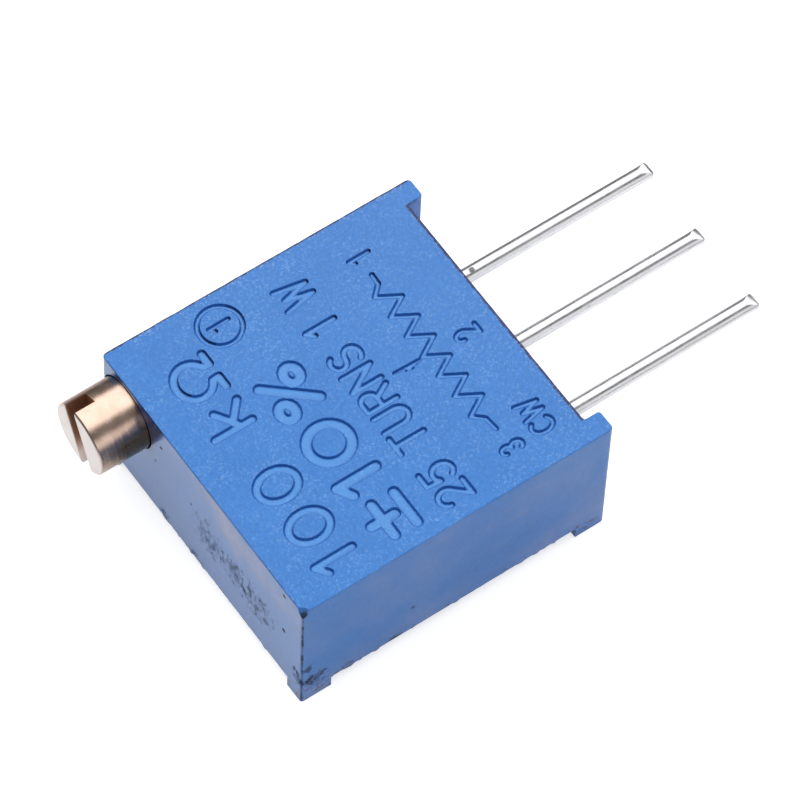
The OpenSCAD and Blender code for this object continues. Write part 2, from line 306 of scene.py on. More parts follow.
def plain(name, colour, roughness, metallic=0, grainSize=0.2, vary=0.15):
    # a finish whose colour and gloss vary over grainSize mm, with 4 microns of relief
    material, node, place = newMaterial(name)
    grain = node("TexNoise", {"Vector": place, "Scale": 1 / grainSize, "Detail": 4})
    low, high = ([c * k for c in linear(colour)[:3]] + [1] for k in (1 - vary, 1 + vary / 2))
    tone = node("Mix", {0: grain, 6: low, 7: high}, data_type="RGBA")
    gloss = node("MapRange", grain, 0, 1, roughness * 0.8, roughness * 1.2)
    relief = node("Bump", {"Height": grain, "Distance": 0.004 * mm})
    shader = node("BsdfPrincipled", {"Base Color": tone, "Metallic": metallic, "Roughness": gloss,
                                     "Normal": relief})
    node("OutputMaterial", shader)
    return material


# marks pressed into the face

def arc(cx, cy, rx, ry, start, end, steps=14):
    angles = [radians(start + (end - start) * k / steps) for k in range(steps + 1)]
    return [(cx + rx * cos(a), cy + ry * sin(a)) for a in angles]


# single-stroke characters one unit high: their width, then their strokes
letters = {
    "0": (0.7, [arc(0.35, 0.5, 0.33, 0.5, 0, 360, 28)]),
    "1": (0.34, [[(0.02, 0.8), (0.25, 1), (0.25, 0)]]),
    "2": (0.66, [arc(0.33, 0.7, 0.31, 0.3, 170, -38) + [(0.02, 0), (0.66, 0)]]),
    "3": (0.64, [arc(0.31, 0.75, 0.27, 0.25, 155, -90), arc(0.31, 0.26, 0.31, 0.26, 80, -155)]),
    "5": (0.66, [[(0.6, 1), (0.1, 1), (0.05, 0.55)], arc(0.32, 0.33, 0.32, 0.33, 140, -145)]),
    "C": (0.74, [arc(0.4, 0.5, 0.38, 0.5, 48, 312, 18)]),
    "W": (0.9, [[(0, 1), (0.22, 0), (0.45, 0.85), (0.68, 0), (0.9, 1)]]),
    "T": (0.7, [[(0, 1), (0.7, 1)], [(0.35, 1), (0.35, 0)]]),
    "U": (0.66, [[(0, 1)] + arc(0.32, 0.32, 0.32, 0.32, 180, 360) + [(0.64, 1)]]),
    "R": (0.66, [[(0, 0), (0, 1), (0.38, 1)] + arc(0.38, 0.74, 0.26, 0.26, 80, -90) + [(0, 0.48)],
                 [(0.36, 0.48), (0.66, 0)]]),
    "N": (0.66, [[(0, 0), (0, 1), (0.66, 0), (0.66, 1)]]),
    "S": (0.66, [arc(0.33, 0.75, 0.3, 0.25, 35, 270) + arc(0.33, 0.25, 0.32, 0.25, 90, -145)]),
    "k": (0.52, [[(0, 0), (0, 1)], [(0.48, 0.66), (0, 0.28)], [(0.15, 0.4), (0.52, 0)]]),
    "ohm": (0.84, [[(0, 0), (0.26, 0)] + arc(0.42, 0.56, 0.4, 0.44, 245, -65, 20) + [(0.58, 0), (0.84, 0)]]),
    "+-": (0.6, [[(0, 0.62), (0.6, 0.62)], [(0.3, 0.92), (0.3, 0.32)], [(0, 0.04), (0.6, 0.04)]]),
    "%": (0.84, [[(0.12, 0), (0.72, 1)], arc(0.17, 0.8, 0.15, 0.18, 0, 360),
                 arc(0.67, 0.2, 0.15, 0.18, 0, 360)]),
    " ": (0.4, []),
}

# places on the marked face in mm: across from the side away from the screw, down from the screw's side
marks = {"depth": 0.092, "wallRun": 0.026, "crown": 0.03, "crownFrom": 0.055, "uneven": 0.01,
         "rows": [  # characters, across, down, height, width factor, gap, stroke
             (["1", "0", "0", " ", "k", "ohm"], 0.62, 1.05, 1.18, 1.2, 0.42, 0.25),
             (["+-", "1", "0", "%"], 0.62, 2.88, 1.24, 1.45, 0.38, 0.33),
             ("25 TURNS 1 W", 0.5, 4.88, 0.92, 0.86, 0.24, 0.18),
             ("3", 0.92, 7.12, 0.64, 0.68, 0, 0.15), ("1", 8.08, 7.12, 0.64, 0.9, 0, 0.14),
             ("CW", 0.94, 8.18, 0.64, 0.92, 0.16, 0.15), ("2", 4.46, 8.15, 0.68, 0.66, 0, 0.15)],
         "zigzag": {"from": 1.76, "to": 7.55, "level": 7.42, "high": 7.08, "low": 7.72, "first": 2.45,
                    "pitch": 0.745, "peaks": 7, "stroke": 0.15},
         "arrow": {"at": 2.94, "tail": 6.16, "stroke": 0.11, "drop": ((6.52, 6.64, 0.26), (6.62, 6.8, 0.16))},
         "ring": {"across": 8.5, "down": 3.12, "radius": 0.62, "stroke": 0.15, "digit": ("1", 0.62, 0.13)}}


def strokePlaces():
    # every stroke as a line of (across, down) points with half of its width
    found = []

    def write(characters, across, down, height, wide, gap, stroke):
        for c in characters:
            width, strokes = letters[c]
            for line in strokes:
                points = [(across + u * height * wide, down + (1 - v) * height) for u, v in line]
                found.append((points, stroke / 2))
            across += (width * wide + gap) * height

    for row in marks["rows"]:
        write(*row)
    z = marks["zigzag"]
    line = [(z["from"], z["level"]), (z["first"] - 0.28, z["level"] - 0.04)]
    for k in range(z["peaks"]):
        line.append((z["first"] + k * z["pitch"], z["high"]))
        if k < z["peaks"] - 1:
            line.append((z["first"] + (k + 0.5) * z["pitch"], z["low"]))
    end = z["first"] + (z["peaks"] - 1) * z["pitch"]
    found.append((line + [(end + 0.3, z["level"] - 0.02), (z["to"], z["level"])], z["stroke"] / 2))
    # the wiper's arrow: a thin line with a fat drop on it
    arrow = marks["arrow"]
    middle = z["first"] + arrow["at"] * z["pitch"]
    found.append(([(middle + 0.03, arrow["tail"]), (middle, z["high"])], arrow["stroke"] / 2))
    for start, end, stroke in arrow["drop"]:
        found.append(([(middle, start), (middle - 0.01, end)], stroke / 2))
    r = marks["ring"]
    found.append((arc(r["across"], r["down"], r["radius"], r["radius"], 0, 360, 40), r["stroke"] / 2))
    digit, height, stroke = r["digit"]
    write(digit, r["across"] - 0.14 * height, r["down"] - height / 2, height, 1, 0, stroke)
    return found


def smoothPieces(line, corner=35, turned=140):
    # a stroke is cut where it turns sharply, and where it has turned a long way
    pieces, current, swung = [], [Vector(line[0]), Vector(line[1])], 0
    for p in line[2:]:
        p = Vector(p)
        turn = degrees((current[-1] - current[-2]).angle(p - current[-1], 0))
        swung += turn
        if turn > corner or swung > turned:
            pieces.append(current)
            current, swung = [current[-1]], 0
        current.append(p)
    return pieces + [current]


def capsule(points, reach):
    # the outline of a stroke with round ends, reach away from its middle
    left, right, ways = [], [], []
    for k, p in enumerate(points):
        along = (points[min(k + 1, len(points) - 1)] - points[max(k - 1, 0)]).normalized()
        side = Vector((-along.y, along.x))
        left.append(p + side * reach)
        right.append(p - side * reach)
        ways.append((along, side))
    turns = [radians(t) for t in (22, 45, 67, 90, 113, 135, 158)]
    along, side = ways[-1]
    end = [points[-1] + (side * cos(t) + along * sin(t)) * reach for t in turns]
    along, side = ways[0]
    start = [points[0] - (side * cos(t) + along * sin(t)) * reach for t in turns]
    return left + end + right[::-1] + start


def onFace(p):
    return Vector((caseLow.x + p.y * mm, caseLow.y + p.x * mm, caseHigh.z))


def strokeLines(strokes):
    # the strokes' middles as edges, each point with half of its stroke's width
    verts, edges, halves = [], [], []
    for line, half in strokes:
        for a, b in zip(line, line[1:]):
            a, b = Vector(a), Vector(b)
            pieces = max(1, ceil((b - a).length / 0.03))
            first = len(verts)
            verts += [onFace(a.lerp(b, k / pieces)) for k in range(pieces + 1)]
            edges += [(first + k, first + k + 1) for k in range(pieces)]
            halves += [half * mm] * (pieces + 1)
    mesh = bpy.data.meshes.new("strokes")
    mesh.from_pydata([tuple(v) for v in verts], edges, [])
    mesh.attributes.new("halfWidth", "FLOAT", "POINT").data.foreach_set("value", halves)
    return newObject("strokes", mesh)


def pressTree():
    # presses the face down along the strokes: a groove's wall is Wall run wide, and its floor is crowned
    sizes = [("Depth", "depth"), ("Wall run", "wallRun"), ("Crown", "crown"), ("Crown from", "crownFrom"),
             ("Unevenness", "uneven")]
    inputs = [("Strokes", "Object", None), ("Face level", "Float", caseHigh.z)]
    inputs += [(title, "Float", marks[key] * mm) for title, key in sizes] + [("Finish", "Material", None)]
    tree, node, given = geometryTree("pressedMarks", inputs)
    lines = node("GeometryNodeObjectInfo", {"Object": given["Strokes"]}).outputs["Geometry"]
    place = node("GeometryNodeInputPosition")
    reach = node("GeometryNodeProximity", {"Geometry": lines}, target_element="EDGES").outputs["Distance"]
    half = node("GeometryNodeInputNamedAttribute", {"Name": "halfWidth"}, data_type="FLOAT")
    nearest = node("GeometryNodeSampleNearest", {"Geometry": lines})
    width = node("GeometryNodeSampleIndex", {"Geometry": lines, "Value": half, "Index": nearest},
                 data_type="FLOAT")
    beyond = node("Math.SUBTRACT", reach, width)
    wallTop = node("Math.MULTIPLY", given["Wall run"], 0.4)
    wallFoot = node("Math.MULTIPLY", given["Wall run"], -0.4)
    inside = node("MapRange", beyond, wallTop, wallFoot)
    gap = node("Math.SUBTRACT", given["Face level"], node("SeparateXYZ", place).outputs["Z"])
    flat = node("Math.LESS_THAN", gap, 0.01 * mm)
    share = node("Math.MULTIPLY", inside, flat)
    uneven = node("TexNoise", {"Vector": place, "Scale": 1 / (0.4 * mm), "Detail": 1})
    depth = node("Math.MULTIPLY_ADD", uneven, given["Unevenness"], given["Depth"])
    crownLine = node("Math.MULTIPLY", given["Crown from"], -0.95)
    crowned = node("MapRange", beyond, wallFoot, crownLine, 0, given["Crown"])
    lessDeep = node("Math.SUBTRACT", depth, crowned)
    drop = node("Math.MULTIPLY", share, lessDeep)
    down = node("Math.MULTIPLY", drop, -1)
    offset = node("CombineXYZ", {"Z": down})
    moved = node("GeometryNodeSetPosition", {"Geometry": given["Geometry"], "Offset": offset})
    real = node("GeometryNodeRealizeInstances", {"Geometry": moved})
    finished = node("GeometryNodeSetMaterial", {"Geometry": real, "Material": given["Finish"]})
    node("NodeGroupOutput", finished)
    return tree


# housing

housing = {"stepBack": 0.51, "sideWall": 0.67, "footHeight": 0.46, "footLength": 0.98, "under": 0.003,
           "corners": {"D": 0.1, "C": 0.13, "B": 0.14, "A": 0.13, "standoff": 0.1},
           "topEdge": 0.035, "arcSteps": 6, "step": 0.14,
           # how far the lower edges stray
           "bite": 0.11, "nibble": 0.03, "notch": 0.07, "bead": 0.16, "beadMore": 1.6,
           "chipRadius": 0.73, "chipAway": (-0.32, -0.32, 0.27), "chipUneven": 0.02}


def outline():
    # the body seen from above: its points, which way is inward at each, and where each takes its wear from,
    # which is one place for all of a corner
    h, c = housing, housing["corners"]
    x0, x2 = caseLow.x / mm + h["under"], caseHigh.x / mm - h["under"]
    y0, y1 = caseLow.y / mm + h["under"], caseHigh.y / mm - h["under"]
    x1, ya, yb = x2 - h["stepBack"], y0 + h["sideWall"], y1 - h["sideWall"]
    s = c["standoff"]
    shape = [(x0, y0, c["D"], 1), (x2, y0, c["C"], 1), (x2, ya, s, 1), (x1, ya, s, -1), (x1, yb, s, -1),
             (x2, yb, s, 1), (x2, y1, c["B"], 1), (x0, y1, c["A"], 1)]
    count, rounds = len(shape), []
    for k, (x, y, radius, side) in enumerate(shape):
        here, before, after = Vector((x, y)), Vector(shape[k - 1][:2]), Vector(shape[(k + 1) % count][:2])
        into, out = (here - before).normalized(), (after - here).normalized()
        centre = here + (out - into) * radius
        spots = []
        for n in range(h["arcSteps"] + 1):
            turn = pi / 2 * n / h["arcSteps"]
            way = -out * cos(turn) + into * sin(turn)
            spots.append((centre + way * radius, -way * side, centre))
        rounds.append(spots)
    points = []
    for k in range(count):
        points += rounds[k]
        a, b = rounds[k][-1], rounds[(k + 1) % count][0]
        length = (b[0] - a[0]).length
        shares = {round(s, 5) for s in [0.03 / length, 0.08 / length, 1 - 0.08 / length, 1 - 0.03 / length]}
        pieces = max(1, round(length / h["step"]))
        shares |= {round(n / pieces, 5) for n in range(1, pieces)}
        last = 0
        for share in sorted(shares):
            if 0 < share < 1 and (share - last) * length > 0.015:
                points.append((a[0].lerp(b[0], share), a[1], a[0].lerp(b[0], share)))
                last = share
    return points


def bodyLoft(strokes):
    h = housing
    around = outline()
    bottom, top = caseLow.z / mm + h["under"], caseHigh.z / mm - h["under"]
    rings = []
    for angle in (0, 45, 90):  # the lower edge, hardly rounded
        a, r = radians(angle), 0.02
        rings.append([(p + n * r * (1 - sin(a)), bottom + r * (1 - cos(a))) for p, n, w in around])
    for z in [0.06, 0.2, 0.4, 0.5, 0.8] + [1.1 + 0.35 * k for k in range(10)] + [4.5, 4.7, 4.82, 4.88]:
        rings.append([(p + n * 0.003 * (1 + bumpy(p.x, p.y, z, 0.9, 7)), z) for p, n, w in around])
    worn = []
    for p, n, w in around:
        chips = max(0, bumpy(w.x, w.y, 0, 0.16, 5) - 0.3) * 0.06
        worn.append(min(0.06, max(0.02, h["topEdge"] + bumpy(w.x, w.y, 0, 0.5, 3) * 0.015 + chips)))
    for angle in (0, 18, 36, 54, 72, 90):
        a = radians(angle)
        rings.append([(p + n * (0.003 + r * (1 - cos(a))), top - r + r * sin(a))
                      for (p, n, w), r in zip(around, worn)])
    # one more ring keeps the face flat to its edge
    rings.append([(p + n * (0.028 + r), top) for (p, n, w), r in zip(around, worn)])
    verts = [Vector((p.x, p.y, z)) * mm for ring in rings for p, z in ring]
    count = len(around)
    faces = facesBetween(len(rings), count)
    faces.append(tuple(reversed(range(count))))

    # the marked face: cut along both edges of every groove's wall, and where its floor's crown begins
    first = len(verts) - count
    spots, lines = [v.xy / mm for v in verts[first:]], [(k, (k + 1) % count) for k in range(count)]
    for line, half in strokes:
        for piece in smoothPieces(line):
            for reach in (half + marks["wallRun"] / 2, half - marks["wallRun"] / 2,
                          max(half * 0.3, half - marks["crownFrom"])):
                loop = [onFace(p).xy / mm for p in capsule(piece, reach)]
                lines += [(len(spots) + k, len(spots) + (k + 1) % len(loop)) for k in range(len(loop))]
                spots += loop
    cut = geometry.delaunay_2d_cdt(spots, lines, [list(range(count))], 1, 1e-5)
    number = []
    for p, source in zip(cut[0], cut[3]):
        ring = [k for k in source if k < count]
        number.append(first + ring[0] if ring else len(verts))
        if not ring:
            verts.append(Vector((p.x, p.y, top)) * mm)
    faces += [tuple(number[k] for k in f) for f in cut[2]]
    return newObject("housing_shell", meshFrom("housing_shell", verts, faces))


def pressMarks(shell, strokes, finish):
    lines = strokeLines(strokes)
    level = caseHigh.z - housing["under"] * mm
    runTree(shell, pressTree(), {"Strokes": lines, "Face level": level, "Finish": finish})
    bpy.data.objects.remove(lines)


def raggedStrip(name, start, end, thick, low, high, step=0.035):
    # a closed strip along one wall; low and high give its lower and upper edge at each place
    length = (end - start).length
    along = (end - start) / length
    inward = Vector((-along.y, along.x)) * thick
    pieces = max(2, round(length / step))
    verts = []
    for k in range(pieces + 1):
        p = start + along * (length * k / pieces)
        q = p + inward
        a, b = low(p), high(p)
        verts += [Vector((at.x, at.y, z)) * mm for at, z in ((p, a), (q, a), (q, b), (p, b))]
    faces = facesBetween(pieces + 1, 4) + [(3, 2, 1, 0), tuple(4 * pieces + k for k in range(4))]
    work = bmesh.new()
    work.from_mesh(meshFrom(name, verts, faces))
    bmesh.ops.recalc_face_normals(work, faces=work.faces)
    return fromWork(name, work)


def raggedEdges(shell):
    # the lower edges of the walls were never trimmed clean: shallow bites and small beads of flash
    h = housing
    foot, level = h["footLength"], h["footHeight"]
    x0, x1, y0, y1 = (v / mm for v in (caseLow.x, caseHigh.x, caseLow.y, caseHigh.y))

    def bite(p):
        wave = max(0, bumpy(p.x, p.y, 0, 0.5, 11)) * h["bite"]
        wave += max(0, bumpy(p.x, p.y, 0, 0.12, 12)) * h["nibble"]
        inNotch = y0 + 0.1 > p.y and x0 + 3.6 < p.x < x0 + 4.3
        return level + 0.002 + wave + (h["notch"] if inNotch else 0)

    def bead(p):
        wave = max(0, bumpy(p.x, p.y, 0, 0.2, 21) - 0.1) * h["bead"]
        onFlash = x0 + 0.1 > p.x and y1 - 4.9 < p.y < y1 - 3.5
        return level - 0.004 - wave * (h["beadMore"] if onFlash else 1)

    sides = [((x0 + foot, y0), (x1 - foot, y0)), ((x0, y1 - foot), (x0, y0 + foot)),
             ((x1 - foot, y1), (x0 + foot, y1))]
    for k, (a, b) in enumerate(sides):
        a, b = Vector(a), Vector(b)
        along = (b - a).normalized()
        out = Vector((along.y, -along.x))
        cut = raggedStrip("bite%d" % k, a + out * 0.1 + along * 0.1, b + out * 0.1 - along * 0.1, 0.45,
                          lambda p: level - 0.1, bite)
        combine(shell, cut, "DIFFERENCE")
        flash = raggedStrip("flash%d" % k, a - out * 0.012 + along * 0.02, b - out * 0.012 - along * 0.02,
                            0.16, bead, lambda p: level + 0.25)
        combine(shell, flash, "UNION")
    return shell


def chipCorner(shell):
    # the corner nearest the eye has lost its tip
    centre = Vector((caseLow.x, caseLow.y, caseHigh.z)) / mm + Vector(housing["chipAway"])
    work = bmesh.new()
    bmesh.ops.create_icosphere(work, subdivisions=3, radius=housing["chipRadius"])
    for v in work.verts:
        v.co = (v.co + centre + Vector((1, 1, 1)) * housing["chipUneven"] * bumpy(*v.co, 0.2, 4)) * mm
    return combine(shell, fromWork("chip", work), "DIFFERENCE")


def buildHousing(finish):
    strokes = strokePlaces()
    shell = bodyLoft(strokes)
    pressMarks(shell, strokes, finish)
    print("marked face:", len(shell.data.vertices), "points")
    combine(shell, cadCopy("housing"), "INTERSECT")
    raggedEdges(shell)
    chipCorner(shell)
    print("housing:", len(shell.data.polygons), "faces")
    return shell


housingLook = {"blue": "#3183DB", "paleBlue": "#4E9BF0", "deepBlue": "#2C71C3", "groove": "#5BA3F0",
               # 2F69B8 below is painted shade on the grooves' walls
               "wall": "#2F69B8", "fleck": "#82B8F8", "soil": "#191B2E", "brownSoil": "#4E3A42",
               # 10225C below paints the screw's shadow and reflection on its face
               "smudge": "#494540", "screwShadow": "#10225C", "dust": "#D9D8E2", "filmAndSheen": "#B3AFCF",
               # the dust colour also paints a sheen on the marked face
               "grooveCover": 0.75, "fleckCover": 0.62, "screwShadowCover": 0.88,
               # the next two pairs set the film with its painted sheen: on the screw's face, and elsewhere
               "filmAndSheenOnScrewSide": (0.02, 0.42), "filmAndSheenElsewhere": (0.09, 0.18),
               "sideGloss": 0.17, "faceGloss": 0.5, "soilGloss": 0.6, "relief": 0.006,
               "smallSpot": 0.25, "wideSpot": 0.9,  # spots are crisp up to the first, thin over the second
               "edges": [  # which axes count, place, width in mm, colour, how far it covers
                   ((1, 0, 1), (0, 0, 1), 0.027, "soil", 0.65),
                   ((1, 1, 0), (0, 0, 0), 0.068, "soil", 0.9),
                   ((0, 1, 1), (0, 1, 1), 0.07, "brownSoil", 0.85),
                   ((1, 0, 1), (1, 0, 1), 0.1, "brownSoil", 0.8),
                   ((1, 1, 0), (0, 1, 0), 0.05, "soil", 0.5),
                   ((1, 1, 0), (1, 0, 0), 0.085, "brownSoil", 0.7)],
               "spots": [  # place as shares of the body, size in mm, how far it covers
                   ((0, 0.46, 0.5), 1.6, 0.85), ((0, 0.34, 0.5), 1.4, 0.8), ((0, 0.22, 0.46), 1.75, 0.9),
                   ((0, 0.69, 0.14), 0.55, 0.8), ((0, 0.53, 0.11), 0.8, 0.7), ((0.045, 0, 0.18), 0.9, 0.85),
                   ((0.0, 0.02, 0.22), 0.6, 0.7), ((0.16, 0, 0.1), 0.7, 0.6), ((0, 0.7, 0.82), 0.09, 0.9),
                   ((0, 0.73, 0.6), 0.07, 0.8), ((0, 0.55, 0.63), 0.07, 0.9), ((0, 0.09, 0.94), 0.1, 0.9),
                   ((0, 0.09, 0.56), 0.11, 0.95), ((0.36, 0, 0.33), 0.1, 0.6), ((0, 0, 0.978), 0.25, 0.85),
                   ((0.0, 0.03, 0.3), 0.35, 0.8), ((0.02, 0, 0.34), 0.45, 0.7), ((0.3, 0, 0.1), 0.5, 0.7)]}


def moulded():
    # blue glass-filled thermoset, moulded: glossy sides under a rubbed grey film with painted sheen, and a
    # marked face that was spark eroded in the mould, which shows as a fine grain with pale filler flecks;
    # painted shade lies in its grooves and beside the screw
    look, low, high, axis = housingLook, caseLow / mm, caseHigh / mm, screwAxis / mm
    material, node, place = newMaterial("mouldedBlueThermoset")
    xyz = node("SeparateXYZ", place).outputs
    facing = node("SeparateXYZ", node("NewGeometry").outputs["True Normal"]).outputs
    upward = node("MapRange", facing["Z"], 0.55, 0.85)
    nearTop = node("MapRange", xyz["Z"], high.z - 0.2, high.z - 0.16)
    onTop = node("Math.MULTIPLY", upward, nearTop)
    onScrewSide = node("Math.LESS_THAN", facing["X"], -0.7)
    layers = []  # what covers the moulding, from the bottom up: how far, and which colour

    # colour: cloudy over 1.5 mm and grainy over 0.1 mm
    cloud = node("TexNoise", {"Vector": place, "Scale": 1 / 1.5, "Detail": 5})
    grain = node("TexNoise", {"Vector": place, "Scale": 1 / 0.1, "Detail": 2})
    cloudy = node("Mix", {0: cloud, 6: linear(look["deepBlue"]), 7: linear(look["paleBlue"])},
                  data_type="RGBA")
    tone = node("Mix", {0: 0.3, 6: linear(look["blue"]), 7: cloudy}, data_type="RGBA")
    grainy = node("MapRange", grain, 0.3, 0.7, 0.92, 1.08)
    colour = node("VectorMath.SCALE", {0: tone, "Scale": grainy})

    # the grooves' floors are paler; their walls and the foot of each wall are darker, as painted shade
    inGroove = node("MapRange", xyz["Z"], high.z - 0.045, high.z - 0.055, 0, look["grooveCover"])
    inGroove = node("Math.MULTIPLY", inGroove, onTop)
    middle = node("VectorMath.SUBTRACT", place, (low + high) / 2)
    aside = node("SeparateXYZ", node("VectorMath.ABSOLUTE", middle)).outputs
    foot = high.z - marks["depth"]
    footShade = node("MapRange", xyz["Z"], foot + 0.02, foot, 0, look["grooveCover"])
    wallShade = node("MapRange", facing["Z"], 0.7, 0.45, 0, look["grooveCover"])
    wallShade = node("Math.MAXIMUM", wallShade, footShade)
    marked = node("Math.GREATER_THAN", xyz["Z"], high.z - 0.14)
    for part, reach in ((aside["X"], (high.x - low.x) / 2), (aside["Y"], (high.y - low.y) / 2)):
        within = node("Math.LESS_THAN", part, reach - 0.2)
        marked = node("Math.MULTIPLY", marked, within)
    wallShade = node("Math.MULTIPLY", wallShade, marked)
    layers += [(inGroove, "groove"), (wallShade, "wall")]

    # painted sheen: the face a little paler towards one corner, drawn with the dust colour
    diagonal = node("Math.ADD", xyz["X"], xyz["Y"])
    paintedSheen = node("MapRange", diagonal, -6, 6, 0, 0.035)
    layers.append((node("Math.MULTIPLY", paintedSheen, onTop), "dust"))

    # pale filler flecks on the marked face, about 0.06 mm each and gathered in drifts of 0.9 mm
    drift = node("TexNoise", {"Vector": place, "Scale": 1 / 0.9, "Detail": 3})
    drifts = node("MapRange", drift, 0.4, 0.62, 0.35, 1)
    dust = node("TexNoise", {"Vector": place, "Scale": 1 / 0.065, "Detail": 3, "Roughness": 0.6})
    specks = node("MapRange", dust, 0.51, 0.68, 0, look["fleckCover"])
    for part in (drifts, onTop):
        specks = node("Math.MULTIPLY", specks, part)
    layers.append((specks, "fleck"))

    # the grey film that handling left on the sides, with painted sheen in it: streaks of about 0.6 by 1.1 mm.
    # On the screw's face it is thickest in a band below the top as a painted reflection of the table, and
    # kept off near the screw, which leaves painted shade there
    streaks = node("VectorMath.MULTIPLY", place, (1, 1.6, 0.8))
    rubbed = node("TexNoise", {"Vector": streaks, "Scale": 1 / 0.9, "Detail": 5, "Distortion": 0.6})
    wide = node("TexNoise", {"Vector": place, "Scale": 1 / 2.4, "Detail": 3, "Distortion": 0.3})
    level = node("Math.MULTIPLY_ADD", wide, 2.2, xyz["Z"])
    upper = node("MapRange", level, high.z - 0.7, high.z + 0.6, *look["filmAndSheenOnScrewSide"], **smooth)
    fromScrew = node("VectorMath.DISTANCE", place, (low.x, axis.y, axis.z))
    clear = node("MapRange", fromScrew, 1.5, 2.3, **smooth)
    upper = node("Math.MULTIPLY", upper, clear)
    lower = node("MapRange", xyz["Z"], 1.8, 0.5, *look["filmAndSheenElsewhere"])
    filmAndSheen = node("Mix", {0: onScrewSide, 2: lower, 3: upper}, data_type="FLOAT")
    streaky = node("MapRange", rubbed, 0.3, 0.7, 0.6, 1.25)
    patchy = node("MapRange", wide, 0.38, 0.62, 0.15, 1.6)
    sideways = node("Math.SUBTRACT", 1, upward)
    for part in (streaky, patchy, sideways):
        filmAndSheen = node("Math.MULTIPLY", filmAndSheen, part)
    filmAndSheen = node("Math.SUBTRACT", filmAndSheen, marked, use_clamp=True)
    layers.append((filmAndSheen, "filmAndSheen"))

    # soil in the edges and in spots; a noise of 0.16 mm eats into both
    fray = node("TexNoise", {"Vector": place, "Scale": 1 / 0.16, "Detail": 4, "Roughness": 0.65})
    smear = node("TexNoise", {"Vector": streaks, "Scale": 1 / 0.22, "Detail": 6, "Roughness": 0.72,
                              "Distortion": 0.4})
    soiled = []
    for axes, share, width, soil, cover in look["edges"]:
        spot = Vector([l + (h - l) * s for l, h, s in zip(low, high, share)])
        atLeads = share[0] == 1 and axes == (1, 0, 1)
        if atLeads:
            spot.x -= housing["stepBack"]
        there = Vector([-s * a for s, a in zip(spot, axes)])
        off = node("VectorMath.MULTIPLY_ADD", place, axes, there)
        reach = node("VectorMath.LENGTH", off)
        edge = node("Math.MULTIPLY_ADD", fray, width * 1.5, width * 0.22)
        if atLeads:  # this edge runs only between the standoffs
            inner = high.y - housing["sideWall"]
            past = node("MapRange", node("Math.ABSOLUTE", xyz["Y"]), inner, inner + 0.1)
            reach = node("Math.ADD", reach, past)
        within = node("Math.SUBTRACT", edge, reach)
        amount = node("MapRange", within, -0.01, 0.02, 0, cover)
        layers.append((amount, soil))
        soiled.append(amount)
        if soil == "brownSoil":  # pale dust sits beside the brown
            beside = node("MapRange", reach, 0.32, 0.05)
            dusty = node("MapRange", dust, 0.6, 0.66, 0, 0.4)
            layers.append((node("Math.MULTIPLY", dusty, beside), "dust"))
    grit = node("MapRange", fray, 0.35, 0.6, 0.45)
    for share, size, cover in look["spots"]:
        spot = Vector([l + (h - l) * s for l, h, s in zip(low, high, share)])
        crisp, thin = size <= look["smallSpot"], size > look["wideSpot"]
        reach = node("VectorMath.DISTANCE", place, spot)
        close = node("MapRange", reach, size, size * 0.2, -0.3, 0.6 if crisp else 0.1)
        both = node("Math.ADD", fray if crisp else smear, close)
        amount = node("MapRange", both, 0.5, 0.64, 0, cover)
        if thin:
            amount = node("Math.MULTIPLY", amount, grit)
        layers.append((amount, "smudge" if thin else "soil"))
        soiled.append(amount)
    # specks along the lower edges
    lowEdge = node("MapRange", xyz["Z"], 0.75, 0.42, 0, 0.1)
    speckly = node("Math.ADD", fray, lowEdge)
    amount = node("MapRange", speckly, 0.64, 0.72, 0, 0.85)
    isLow = node("Math.GREATER_THAN", lowEdge, 0.02)
    upright = node("Math.GREATER_THAN", facing["Z"], -0.6)
    for part in (isLow, upright):
        amount = node("Math.MULTIPLY", amount, part)
    layers.append((amount, "brownSoil"))
    # painted shadow and dark reflection of the screw on its face, between the screw and the top, up to a
    # straight line
    fromAxis = node("VectorMath.SUBTRACT", place, axis)
    past = node("VectorMath.DOT_PRODUCT", fromAxis, (0, -0.926, -0.377))
    screwShadowMask = node("MapRange", past, 1.24, 1.06, 0, look["screwShadowCover"])
    nearEnd = node("MapRange", xyz["Y"], axis.y + 0.9, axis.y + 0.4)
    above = node("MapRange", xyz["Z"], axis.z - 0.8, axis.z - 0.5)
    for part in (onScrewSide, nearEnd, above):
        screwShadowMask = node("Math.MULTIPLY", screwShadowMask, part)
    layers.append((screwShadowMask, "screwShadow"))
    for amount, name in layers:
        colour = node("Mix", {0: amount, 6: colour, 7: linear(look[name])}, data_type="RGBA")

    # surface: the face's fine erosion, drawn at 0.07 mm so that it shows, and soft waves on the sides
    pits = node("TexNoise", {"Vector": place, "Scale": 1 / 0.07, "Detail": 3})
    waves = node("TexNoise", {"Vector": place, "Scale": 1 / 0.8, "Detail": 2})
    fine = node("MapRange", onTop, 0, 1, 0.06, 1.6)
    height = node("Math.MULTIPLY", pits, fine)
    height = node("Math.MULTIPLY_ADD", waves, 0.6, height)
    relief = node("Bump", {"Height": height, "Distance": look["relief"] * mm})
    gloss = node("MapRange", onTop, 0, 1, look["sideGloss"], look["faceGloss"])
    for amount in soiled:
        gloss = node("Math.MULTIPLY_ADD", amount, look["soilGloss"], gloss)
    shader = node("BsdfPrincipled", {"Base Color": colour, "Roughness": gloss, "Normal": relief, "IOR": 1.5})
    node("OutputMaterial", shader)
    return material


thermoset = moulded()
shell = buildHousing(thermoset)
dress(shell, thermoset, 34)
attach(shell, "case")
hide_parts("housing")


# adjusting screw

screw = {"diameter": 2.21, "out": 1.56, "bevel": 0.05, "slotWidth": 0.49, "slotDepth": 0.67,
         "slotTurn": 21.5, "slotAside": 0.05, "around": 128, "joint": 0.45, "clear": 0.004, "burr": 0.014,
         "ringPitch": 0.035, "ringDepth": 0.0025}
axisY, axisZ = screwAxis.y / mm, screwAxis.z / mm


